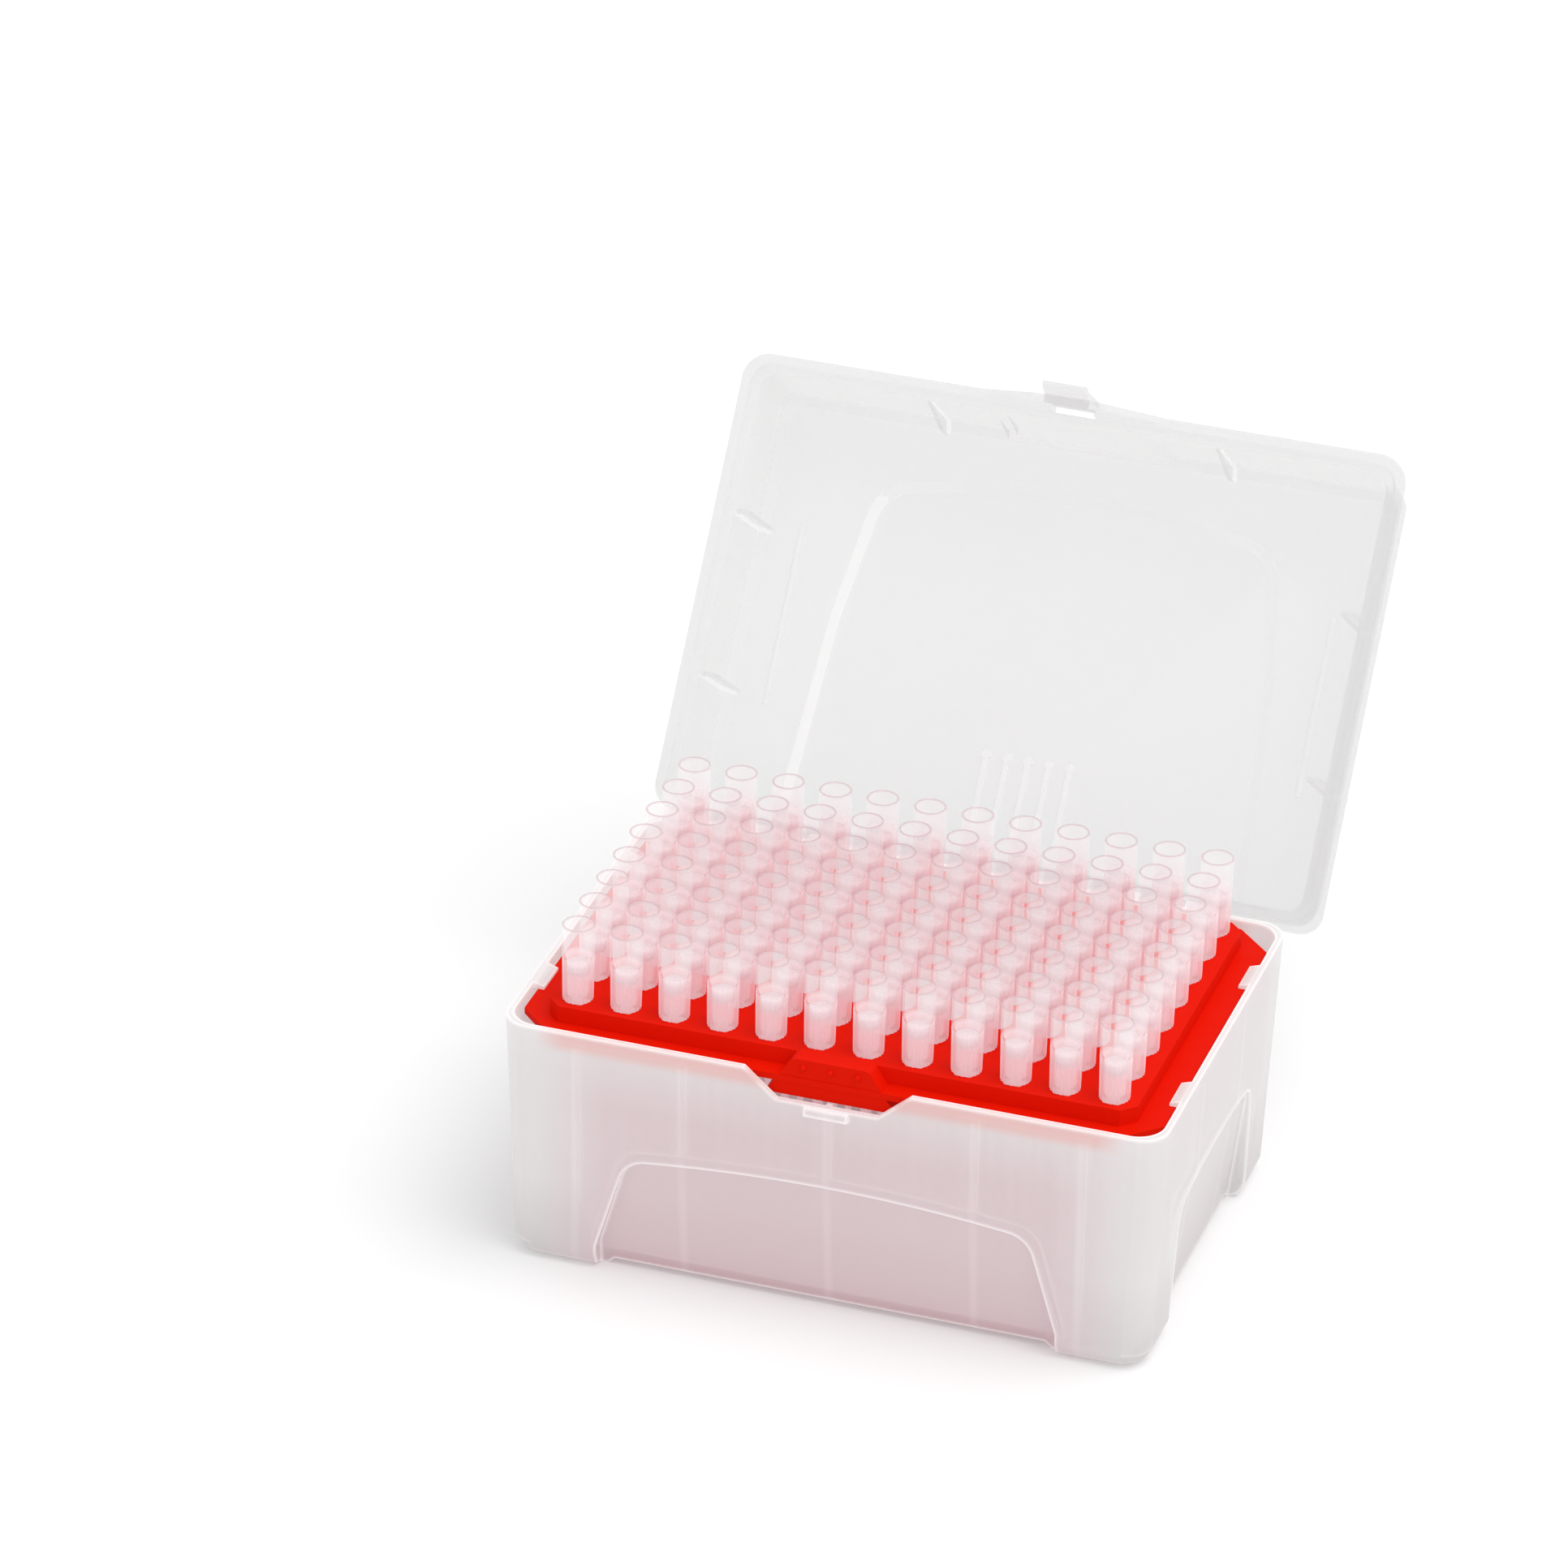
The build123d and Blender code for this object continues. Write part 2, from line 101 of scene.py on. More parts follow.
class TipSizes(bpy.types.PropertyGroup):
    """Sizes of one tip and of the row that repeats it."""
    pitch: length("Pitch", 9.0, "Spacing of the tips")
    rim_d: length("Rim diameter", 6.0, "Outside of the collar at the rim")
    collar_d: length("Collar foot diameter", 5.84, "Outside of the collar at its foot")
    collar_h: length("Collar height", 6.4, "Height of the smooth collar")
    barrel_d: length("Barrel diameter", 5.5, "Ribbed barrel at its top, between the ribs")
    barrel_foot_d: length("Barrel foot diameter", 5.2, "Ribbed barrel at its foot, between the ribs")
    barrel_h: length("Barrel height", 8.7, "Height of the ribbed barrel")
    rib_out: length("Rib height", 0.16, "How far the ribs stand out")
    bore_rim_d: length("Bore at the rim", 5.15, "Bore at the rim")
    bore_step_d: length("Bore at the collar foot", 4.95, "Bore at the foot of the collar")
    bore_low_d: length("Bore of the barrel", 4.1, "Bore below the collar")
    fin_d: length("Fin diameter", 4.65, "Across the four fins")
    fin_full_h: length("Full fins", 2.3, "Height over which the fins keep their width")
    fin_h: length("Fin height", 5.7, "Height of the fins")
    stem_d: length("Stem diameter", 2.67, "Stem between the fins, at its top")
    stem_wall: length("Stem wall", 0.45, "Wall of the stem between the fins")
    neck_d: length("Neck diameter", 2.1, "Stem below the fins")
    end_d: length("End diameter", 0.75, "Stem at the dispensing end")
    channel_d: length("Channel diameter", 0.45, "Bore at the dispensing end")
    total_h: length("Tip length", 48.7, "Length of the tip")
    ribs: IntProperty(name="Ribs", description="Ribs round the barrel", default=20, min=8)


class PlasticLooks(bpy.types.PropertyGroup):
    """Colours and clearness of the plastics, and the painted light and shade on them."""
    base_colour: colour("Base colour", (0.83, 0.84, 0.84), "Milky plastic of the base")
    # Painted shade: the base darker towards the bench.
    base_tray_light: colour("Base blush", (0.74, 0.575, 0.605), "Base where the tray shines through")
    # Painted red light of the tray, showing through the walls of the base.
    base_foot_shade: colour("Base foot", (0.60, 0.58, 0.585), "Base near the bench")
    # Painted red light of the tray, stronger just under the rim.
    base_rim_tray_light: colour("Base shine", (0.88, 0.45, 0.41), "Base under its rim, where the tray touches it")
    # Painted shade, tinted red, on the low edge of the base between the feet.
    base_sill_shade: colour("Base sill", (0.56, 0.32, 0.36), "Low edge of the base between the feet")
    # Painted highlight on the edges of the base and pale lines over its inner ribs.
    base_edge_highlight: colour("Base edge", (0.95, 0.93, 0.93), "Edges of the base, where the plastic is thick")
    base_clear: amount("Base clearness", 0.25, "How much of what is behind shows through the base")
    base_glow: colour("Base glow", (0.13, 0.12, 0.12), "Light that wanders inside the milky plastic")
    # Painted highlight as glow, on the same edges and rib lines.
    base_edge_glow: colour("Base edge glow", (0.36, 0.34, 0.34), "The same at the edges of the base")
    lid_colour: colour("Lid colour", (0.70, 0.70, 0.70), "Clear plastic of the lid")
    # Painted highlight on the slope round the lid's field, its bars and its strips.
    lid_highlight: colour("Lid edge", (0.9, 0.9, 0.9), "Slope of the lid's arch, which catches the light")
    lid_haze: amount("Lid haze", 0.34, "How much of the lid shows against what is behind")
    lid_glow: colour("Lid glow", (0.055, 0.055, 0.055), "Light that wanders inside the clear plastic")
    # Painted highlight as glow, on the same faces.
    lid_edge_glow: colour("Lid edge glow", (0.20, 0.20, 0.20), "The same on the slope of the arch")
    tray_colour: colour("Tray colour", (0.76, 0.009, 0.001), "Red-orange plastic of the tray")
    tip_colour: colour("Tip colour", (0.87, 0.85, 0.86), "Clear plastic of the tips")
    # Painted red light of the tray on the tips, from just above the barrels down.
    tip_tray_light: colour("Tip blush", (0.85, 0.655, 0.685), "Tips near the tray, which tints them")
    # Painted shade, tinted red, on the rims of the tips.
    tip_rim_shade: colour("Tip rim", (0.60, 0.41, 0.45), "Rims of the tips")
    tip_rim_glow: colour("Tip rim glow", (0.04, 0.02, 0.02), "Light that wanders inside the rims")
    tip_haze: amount("Collar haze", 0.19, "How much of the collars shows against what is behind")
    barrel_haze: amount("Barrel haze", 0.46, "How much of the barrels shows against what is behind")
    tip_glow: amount("Tip glow", 0.37, "Light that wanders inside the tips")
    # The filter's white with painted red light of the tray.
    plug_tray_lit_colour: colour("Filter colour", (0.77, 0.63, 0.65), "White porous filter, tinted by the tray")
    floor_colour: colour("Floor colour", (0.815, 0.815, 0.815), "Pale floor")


class ViewSettings(bpy.types.PropertyGroup):
    """Where the camera stands."""
    azimuth: FloatProperty(name="Azimuth", description="Turn of the camera round the box", subtype="ANGLE",
                           default=math.radians(17.6826))
    elevation: FloatProperty(name="Elevation", description="Camera above the horizon", subtype="ANGLE",
                             default=math.radians(28.5033))
    roll: FloatProperty(name="Roll", description="Turn about the line of sight", subtype="ANGLE",
                        default=math.radians(1.4362))
    distance: length("Distance", 1600.0, "From the camera to the point it aims at")
    aim_right: FloatProperty(name="Aim right", description="Aim to the right of the middle tip rim",
                             unit="LENGTH", default=-20.7865 * MM)
    aim_up: FloatProperty(name="Aim up", description="Aim above the middle tip rim", unit="LENGTH",
                          default=18.8334 * MM)
    lens: FloatProperty(name="Lens", description="Focal length in millimetres", default=206.92, min=10.0)


# ---- shader helpers --------------------------------------------------------------------------------

class Signal:
    """A number socket whose sums and products are written as Python expressions."""

    def __init__(self, look, socket):
        self.look, self.socket = look, socket

    def _math(self, operation, *values, clamp=False):
        settings = {"operation": operation, "use_clamp": clamp}
        return Signal(self.look, self.look.node("ShaderNodeMath", settings, *values).outputs[0])

    def __add__(self, other):
        return self._math("ADD", self, other)

    __radd__ = __add__

    def __sub__(self, other):
        return self._math("SUBTRACT", self, other)

    def __rsub__(self, other):
        return self._math("SUBTRACT", other, self)

    def __mul__(self, other):
        return self._math("MULTIPLY", self, other)

    __rmul__ = __mul__

    def ramp(self, start, end):
        """0 before start, 1 past end, and straight between."""
        return self._math("MULTIPLY", self - start, 1.0 / (end - start), clamp=True)

    def at_least(self, other):
        return self._math("MAXIMUM", self, other)

    def size(self):
        return self._math("ABSOLUTE", self)

    def near(self, place, reach):
        """1 round a place, falling to 0 at the reach on both sides."""
        return (self - place).size().ramp(reach, 0.3 * reach)


def add_node(tree, kind, settings=None, *values, **sockets):
    """Adds a node to a tree. Its sockets are set by order or by name, each to a value or a link."""
    made = tree.nodes.new(kind)
    for key, value in (settings or {}).items():
        setattr(made, key, value)
    for key, value in [*enumerate(values), *sockets.items()]:
        socket = made.inputs[key if isinstance(key, int) else key.replace("_", " ")]
        value = getattr(value, "socket", value)
        if isinstance(value, bpy.types.NodeSocket):
            tree.links.new(value, socket)
        else:
            socket.default_value = value
    return made


class Look:
    """The nodes of a material or a world under construction."""

    def __init__(self, owner, output="ShaderNodeOutputMaterial"):
        self.owner = owner
        owner.use_nodes = True
        self.tree = owner.node_tree
        self.tree.nodes.clear()
        self.output = self.node(output)

    def node(self, kind, settings=None, *values, **sockets):
        return add_node(self.tree, kind, settings, *values, **sockets)

    def noise(self, per_metre, detail=0.0):
        """Even grain on the piece's own coordinates, from 0 to 1."""
        place = self.node("ShaderNodeTexCoord").outputs["Object"]
        return Signal(self, self.node("ShaderNodeTexNoise", None, Vector=place, Scale=per_metre,
                                      Detail=detail).outputs["Fac"])

    def blend(self, share, *tints):
        """Colour between two colours, each plain or linked."""
        mixed = self.node("ShaderNodeMix", {"data_type": "RGBA"}, share)
        for socket, tint in zip(mixed.inputs[6:8], tints):
            if isinstance(tint, bpy.types.NodeSocket):
                self.tree.links.new(tint, socket)
            else:
                socket.default_value = rgba(tint)
        return mixed.outputs[2]

    def place(self):
        """The place on the piece: distance from the box's middle along X and along Y, and height."""
        here = self.node("ShaderNodeTexCoord").outputs["Object"]
        x, y, z = (Signal(self, part) for part in self.node("ShaderNodeSeparateXYZ", None, here).outputs)
        return x.size(), (y - GRID_Y).size(), z

    def edges(self, reach):
        """1 at an edge and 0 away from it, from how far the normal turns where the edge is rounded."""
        rounded = self.node("ShaderNodeBevel", {"samples": 3}, reach).outputs[0]
        flat = self.node("ShaderNodeNewGeometry").outputs["Normal"]
        agree = self.node("ShaderNodeVectorMath", {"operation": "DOT_PRODUCT"}, rounded, flat)
        return Signal(self, agree.outputs["Value"]).size().ramp(0.99, 0.80)

    def grain(self, per_metre, strength, depth, detail=0.0):
        """A normal that is roughened by fine grain."""
        return self.node("ShaderNodeBump", None, Strength=strength, Distance=depth,
                         Height=self.noise(per_metre, detail)).outputs[0]

    def plastic(self, tint, roughness, normal, shine=0.5, glow=(0.0, 0.0, 0.0)):
        """Skin of a moulded polymer, with the light that wanders inside it as a weak glow."""
        glow = glow if isinstance(glow, bpy.types.NodeSocket) else rgba(glow)
        return self.node("ShaderNodeBsdfPrincipled", None, Base_Color=tint, Roughness=roughness, IOR=1.49,
                         Specular_IOR_Level=shine, Normal=normal, Emission_Color=glow,
                         Emission_Strength=1.0).outputs[0]

    def attribute(self, name):
        return Signal(self, self.node("ShaderNodeAttribute", {"attribute_name": name}).outputs["Fac"])

    def clear(self, haze, body, scatter, tint, normal):
        """A clear plastic: a haze of body and scattered light in front of what is behind."""
        behind = self.node("ShaderNodeBsdfTransparent", None, Color=rgba((1.0, 1.0, 1.0))).outputs[0]
        through = self.node("ShaderNodeBsdfTranslucent", None, Color=rgba(tint), Normal=normal).outputs[0]
        return self.mix(haze, behind, self.mix(scatter, body, through))

    def mix(self, share, first, second):
        return self.node("ShaderNodeMixShader", None, share, first, second).outputs[0]

    def finish(self, shader):
        self.tree.links.new(shader, self.output.inputs["Surface"])
        return self.owner


class Surface(Look):
    """A material. Its weak glow is seen, but is no lamp that light rays are aimed at."""

    def __init__(self, name):
        super().__init__(bpy.data.materials.new(name))
        self.owner.cycles.emission_sampling = "NONE"


def rgba(tint):
    return (*tint, 1.0)


# ---- materials -------------------------------------------------------------------------------------

def base_ribs(x, y, z):
    """1 where the inner ribs stand behind the walls of the base, up to just over the tray's lower edge."""
    half = 1.1 * MM
    lines = [x.near(place, half) for place in RIB_X] + [y.near(place, half) for place in RIB_Y]
    total = lines[0]
    for line in lines[1:]:
        total = total.at_least(line)
    return total * z.ramp(tray_low.z + 2.6 * MM, tray_low.z + 2.2 * MM)


def milky_plastic(looks):
    """Natural polypropylene of the base: cloudy, with a painted highlight at its edges, painted pale lines
    over its ribs, painted red light of the tray in it, and painted shade low down.
    """
    look = Surface("milky_polypropylene")
    x, y, z = look.place()
    inward, below_rim = base_high.x - x, z - base_high.z
    cloud = look.noise(60.0, 1.0)

    # Where each painted tint shows: painted shade near the bench, painted red light of the tray behind the
    # walls and stronger just under the rim, and painted shade on the low edge between the feet.
    foot = z.ramp(18 * MM, 2 * MM)
    deeper = 0.6 + 0.1 * cloud + 0.2 * z.ramp(24 * MM, 4 * MM) + 0.4 * z.ramp(5 * MM, 2.5 * MM)
    tray_light = inward.ramp(7 * MM, 20 * MM) * below_rim.ramp(-1.5 * MM, -14 * MM) * deeper
    beside_tray = inward.ramp(7 * MM, 12 * MM) * y.ramp(FRONT_Y + 0.6 * MM, FRONT_Y + 0.2 * MM)
    under_rim = beside_tray * below_rim.near(-1.8 * MM, 2.4 * MM)
    sill_shade = x.ramp(FOOT_X + 2 * MM, FOOT_X - 2 * MM) * z.ramp(4 * MM, 2 * MM)
    wall = looks.base_colour
    for share, tint in ((0.6 * foot, looks.base_foot_shade), (tray_light, looks.base_tray_light),
                        (0.65 * under_rim, looks.base_rim_tray_light), (0.8 * sill_shade, looks.base_sill_shade)):
        wall = look.blend(share, wall, tint)

    # Painted highlight on the edges, weaker just under the rim, and painted pale lines where the inner
    # ribs stand behind the walls.
    edge = look.edges(1.1 * MM) * (1 - 0.7 * below_rim.near(-1.6 * MM, 1.4 * MM))
    highlit = edge.at_least(0.09 * base_ribs(x, y, z))
    normal = look.grain(9000.0, 0.12, 0.05 * MM)
    body = look.plastic(look.blend(highlit, wall, looks.base_edge_highlight), 0.36 + 0.12 * cloud, normal,
                        glow=look.blend(highlit, looks.base_glow, looks.base_edge_glow))
    haze = (1 - looks.base_clear) + looks.base_clear * highlit
    return look.finish(look.clear(haze, body, 0.3, looks.base_colour, normal))


def lid_plastic(looks):
    """Clarified polypropylene of the lid: see-through with a haze, with a painted highlight and more haze
    on the faces marked above 0.
    """
    look = Surface("clear_polypropylene")
    highlit = look.attribute(HIGHLIT)
    normal = look.grain(7000.0, 0.08, 0.04 * MM)
    body = look.plastic(look.blend(highlit, looks.lid_colour, looks.lid_highlight),
                        0.16 + 0.14 * look.noise(45.0, 1.0), normal,
                        glow=look.blend(highlit, looks.lid_glow, looks.lid_edge_glow))
    return look.finish(look.clear(looks.lid_haze + 0.12 * highlit, body, 0.3, looks.lid_colour, normal))


def tray_plastic(looks):
    """Opaque red-orange polypropylene with a fine satin grain."""
    look = Surface("orange_polypropylene")
    normal = look.grain(5200.0, 0.25, 0.05 * MM)
    roughness = 0.46 + 0.14 * look.noise(300.0)
    return look.finish(look.plastic(rgba(looks.tray_colour), roughness, normal, shine=0.03))


def tip_plastic(looks, sizes):
    """Clear polypropylene of the tips, hazier on the rim's edge and on the ribbed barrel, with painted red
    light of the tray from the barrels down and painted shade on the rims.
    """
    look = Surface("tip_polypropylene")
    _, _, z = look.place()
    above_barrel = z - (RIM_Z - sizes.collar_h)
    ribbed = above_barrel.ramp(0.2 * MM, -0.2 * MM)
    # Painted red light of the tray, from just above the barrels down.
    near_tray = above_barrel.ramp(2.5 * MM, -3.5 * MM)
    # Painted shade on the top of the rims.
    rim = (z - RIM_Z).ramp(-0.3 * MM, -0.05 * MM)

    def by_place(collar, barrel, edge):
        return look.blend(rim, look.blend(near_tray, collar, barrel), edge)

    skin = by_place(looks.tip_colour, looks.tip_tray_light, looks.tip_rim_shade)
    glow = by_place([looks.tip_glow * part for part in looks.tip_colour],
                    [0.8 * looks.tip_glow * part for part in looks.tip_tray_light], looks.tip_rim_glow)
    normal = look.grain(12000.0, 0.06, 0.03 * MM)
    haze = looks.tip_haze + (looks.barrel_haze - looks.tip_haze) * ribbed + 0.4 * rim
    body = look.plastic(skin, 0.22, normal, glow=glow)
    return look.finish(look.clear(haze, body, 0.35, looks.tip_colour, normal))


def filter_foam(looks):
    """Sintered white polyethylene with visible pores, its white tinted by painted red light of the tray.
    """
    look = Surface("porous_polyethylene")
    pores = look.grain(4200.0, 0.6, 0.12 * MM, detail=4.0)
    return look.finish(look.plastic(rgba(looks.plug_tray_lit_colour), 0.85, pores))


def bench(looks):
    """Pale floor that is seen as white and keeps its shadow."""
    look = Surface("pale_floor")
    paint = look.node("ShaderNodeBsdfDiffuse", None, Color=rgba(looks.floor_colour)).outputs[0]
    lift = look.node("ShaderNodeEmission", None, Color=rgba((1.0, 1.0, 1.0)), Strength=0.12).outputs[0]
    seen = look.node("ShaderNodeAddShader", None, paint, lift).outputs[0]
    return look.finish(look.mix(seen_directly(look), paint, seen))


def seen_directly(look):
    """1 for what is seen straight, by reflection or through a clear piece, and 0 for stray light."""
    path = look.node("ShaderNodeLightPath").outputs
    straight, mirrored, through = (Signal(look, path[f"Is {kind} Ray"])
                                   for kind in ("Camera", "Glossy", "Transmission"))
    return straight.at_least(mirrored).at_least(through)


# ---- mesh helpers ----------------------------------------------------------------------------------

def to_scene(mesh, name, material):
    """A new object for a mesh that is already in place."""
    piece = bpy.data.objects.new(name, mesh)
    bpy.context.scene.collection.objects.link(piece)
    mesh.materials.clear()
    mesh.materials.append(material)
    return piece


def bake(piece):
    """Replaces a piece's mesh by what its modifiers make, and removes them."""
    depsgraph = bpy.context.evaluated_depsgraph_get()
    old, made = piece.data, bpy.data.meshes.new_from_object(piece.evaluated_get(depsgraph))
    piece.modifiers.clear()
    piece.data = made
    bpy.data.meshes.remove(old)


def moulding(node, name, material):
    """Copy of a frame node with its triangles merged into whole faces and its shading smooth."""
    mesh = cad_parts[node].data.copy()
    work = bmesh.new()
    work.from_mesh(mesh)
    bmesh.ops.remove_doubles(work, verts=work.verts, dist=0.002 * MM)
    bmesh.ops.dissolve_limit(work, angle_limit=math.radians(1.0), verts=work.verts, edges=work.edges)
    work.to_mesh(mesh)
    work.free()
    piece = to_scene(mesh, name, material)
    smooth(piece, 24.0)
    return piece


def smooth(piece, degrees):
    """Smooth shading, but for edges sharper than that."""
    piece.data.shade_smooth()
    work = bmesh.new()
    work.from_mesh(piece.data)
    for edge in work.edges:
        edge.smooth = len(edge.link_faces) != 2 or edge.calc_face_angle(0.0) < math.radians(degrees)
    work.to_mesh(piece.data)
    work.free()


# ---- tips ------------------------------------------------------------------------------------------

def tip_outline(sizes):
    """(radius, depth below the rim, what stands out) down the outside, then up the bore."""
    foot = sizes.collar_h
    seat = foot + sizes.barrel_h
    fins = seat + sizes.fin_h
    full = sizes.fin_full_h / sizes.fin_h
    tail = sizes.total_h - fins
    edge, ledge = 0.12 * MM, 0.05 * MM              # rounded edges, and drops too short to see
    shoulder, cone = 0.5 * MM, 1.0 * MM             # from barrel to stem, outside and in the bore
    draft = 0.15 * MM                               # the barrel's bore narrows by this on each side
    above, below = 0.2 * MM, 0.6 * MM               # the bore's step about the foot of the collar

    def along(top_d, low_d, share):
        """Radius at a share of the way down a taper."""
        return (top_d + (low_d - top_d) * share) / 2

    outside = [
        (sizes.rim_d / 2 - edge, 0.0, ""), (sizes.rim_d / 2, edge, ""),
        (sizes.collar_d / 2, foot - edge, ""), (sizes.collar_d / 2 - edge, foot, ""),
        (sizes.barrel_d / 2, foot + ledge, "ribs"),
        (along(sizes.barrel_d, sizes.barrel_foot_d, 0.5), (foot + seat) / 2, "ribs"),
        (sizes.barrel_foot_d / 2, seat - edge, "ribs"), (sizes.barrel_foot_d / 2 - shoulder, seat, ""),
        (sizes.stem_d / 2, seat + ledge, "fins"),
        (along(sizes.stem_d, sizes.neck_d, full), seat + sizes.fin_full_h, "fins"),
        (sizes.neck_d / 2, fins, ""),
    ]
    outside += [(along(sizes.neck_d, sizes.end_d, t), fins + tail * t, "") for t in (0.33, 0.66, 1.0)]
    bore = [
        (sizes.channel_d / 2, sizes.total_h, ""), (sizes.neck_d / 2 - sizes.stem_wall, fins, ""),
        (sizes.stem_d / 2 - sizes.stem_wall, seat, ""),
        (sizes.bore_low_d / 2 - draft, seat - cone, ""),
        (sizes.bore_low_d / 2, foot + below, ""), (sizes.bore_step_d / 2, foot - above, ""),
        (sizes.bore_rim_d / 2, edge, ""), (sizes.bore_rim_d / 2 + edge, 0.0, ""),
    ]
    return outside + bore


def tip_mesh(sizes):
    """One tip with its ribbed barrel, four fins and through bore, standing under the origin."""
    round_steps = 3 * sizes.ribs
    quarter = round_steps // 4
    work = bmesh.new()
    rings = []
    for radius, depth, extra in tip_outline(sizes):
        ring = []
        for i in range(round_steps):
            r = radius
            if extra == "ribs" and i % 3 == 0:
                r += sizes.rib_out
            if extra == "fins" and min(i % quarter, quarter - i % quarter) <= 1:
                r = sizes.fin_d / 2
            turn = 2 * math.pi * i / round_steps
            ring.append(work.verts.new((r * math.cos(turn), r * math.sin(turn), -depth)))
        rings.append(ring)
    for upper, lower in zip(rings, rings[1:] + rings[:1]):
        for i in range(round_steps):
            j = (i + 1) % round_steps
            work.faces.new((upper[i], lower[i], lower[j], upper[j]))
    bmesh.ops.recalc_face_normals(work, faces=work.faces)
    mesh = bpy.data.meshes.new("tip")
    work.to_mesh(mesh)
    work.free()
    return mesh


def plug_mesh(radius, height):
    """One filter plug with rounded rims, standing on the origin."""
    steps, edge = 24, 0.12 * MM
    outline = [(radius - edge, 0.0), (radius, edge), (radius, height - edge), (radius - edge, height)]
    turns = [2 * math.pi * i / steps for i in range(steps)]
    work = bmesh.new()
    rings = [[work.verts.new((r * math.cos(turn), r * math.sin(turn), z)) for turn in turns]
             for r, z in outline]
    for lower, upper in zip(rings, rings[1:]):
        for i in range(steps):
            j = (i + 1) % steps
            work.faces.new((lower[i], lower[j], upper[j], upper[i]))
    work.faces.new(rings[0][::-1])
    work.faces.new(rings[-1])
    mesh = bpy.data.meshes.new("plug")
    work.to_mesh(mesh)
    work.free()
    return mesh


def grid_tree():
    """Geometry Nodes that stand copies of a piece on a grid, and the identifiers of the inputs."""
    tree = bpy.data.node_groups.new("grid_of_copies", "GeometryNodeTree")
    ports = {}
    for label, kind in (("Piece", "Object"), ("Columns", "Int"), ("Rows", "Int"), ("Pitch", "Float"),
                        ("Middle", "Vector"), ("Material", "Material")):
        socket = tree.interface.new_socket(label, in_out="INPUT", socket_type="NodeSocket" + kind)
        ports[label] = socket.identifier
    tree.interface.new_socket("Geometry", in_out="OUTPUT", socket_type="NodeSocketGeometry")

    def add(kind, settings=None, *values, **sockets):
        return add_node(tree, kind, settings, *values, **sockets).outputs

    def span(count):
        """Width of so many places."""
        steps = add("ShaderNodeMath", {"operation": "SUBTRACT"}, count, 1.0)[0]
        return add("ShaderNodeMath", {"operation": "MULTIPLY"}, steps, given["Pitch"])[0]

    given = add("NodeGroupInput")
    columns, rows = given["Columns"], given["Rows"]
    grid = add("GeometryNodeMeshGrid", None, span(columns), span(rows), columns, rows)["Mesh"]
    places = add("GeometryNodeSetPosition", None, Geometry=grid, Offset=given["Middle"])["Geometry"]
    piece = add("GeometryNodeObjectInfo", None, Object=given["Piece"])["Geometry"]
    copies = add("GeometryNodeInstanceOnPoints", None, Points=places, Instance=piece)["Instances"]
    real = add("GeometryNodeRealizeInstances", None, Geometry=copies)["Geometry"]
    painted = add("GeometryNodeSetMaterial", None, Geometry=real, Material=given["Material"])["Geometry"]
    add("NodeGroupOutput", None, Geometry=painted)
    return tree, ports


def grid_of(mesh, name, columns, rows, pitch, middle, material):
    """A plain mesh of copies, made by the grid tree."""
    source = bpy.data.objects.new(name + "_source", mesh)
    bpy.context.scene.collection.objects.link(source)
    tree, ports = grid_tree()
    piece = bpy.data.objects.new(name, bpy.data.meshes.new(name))
    bpy.context.scene.collection.objects.link(piece)
    modifier = piece.modifiers.new("grid", "NODES")
    modifier.node_group = tree
    for label, value in (("Piece", source), ("Columns", columns), ("Rows", rows), ("Pitch", pitch),
                         ("Middle", middle), ("Material", material)):
        modifier[ports[label]] = value
    bake(piece)
    bpy.data.objects.remove(source)
    bpy.data.node_groups.remove(tree)
    if not piece.data.polygons:
        raise RuntimeError(f"{name} came out empty")
    return piece


def rows_between(low, high, pitch):
    """How many pieces, each less than a pitch wide, stand in a column of the frame."""
    return int((high.y - low.y) / pitch) + 1


# ---- operators -------------------------------------------------------------------------------------

class TIPBOX_OT_base(bpy.types.Operator):
    """Finish the milky base box"""
    bl_idname = "tipbox.base"
    bl_label = "Base"

    def execute(self, context):
        piece = moulding("base", "base_moulding", milky_plastic(context.scene.tipbox_looks))
        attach(piece, "box")
        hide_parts("base")
        return {"FINISHED"}


class TIPBOX_OT_tray(bpy.types.Operator):
    """Finish the red-orange tray"""
    bl_idname = "tipbox.tray"
    bl_label = "Tray"

    def execute(self, context):
        piece = moulding("tray", "tray_moulding", tray_plastic(context.scene.tipbox_looks))
        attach(piece, "box")
        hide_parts("tray")
        pips = self.pips(piece.data.materials[0])
        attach(pips, "box")
        return {"FINISHED"}

    def pips(self, material):
        """Three low pips on the front of the finger grip."""
        spacing, radius, sunk, below_top = 5.0 * MM, 0.6 * MM, 0.1 * MM, 1.6 * MM
        work = bmesh.new()
        for step in (-1, 0, 1):
            place = Vector((step * spacing, tray_low.y + sunk, tray_high.z - below_top))
            bmesh.ops.create_uvsphere(work, u_segments=16, v_segments=10, radius=radius,
                                      matrix=Matrix.Translation(place))
        # The spheres' faces come in a new order on each run, so they are sorted.
        work.verts.index_update()
        places = [vert.co[:] for vert in work.verts]
        faces = sorted([vert.index for vert in face.verts] for face in work.faces)
        work.free()
        mesh = bpy.data.meshes.new("grip_pips")
        mesh.from_pydata(places, [], faces)
        mesh.shade_smooth()
        return to_scene(mesh, "grip_pips", material)


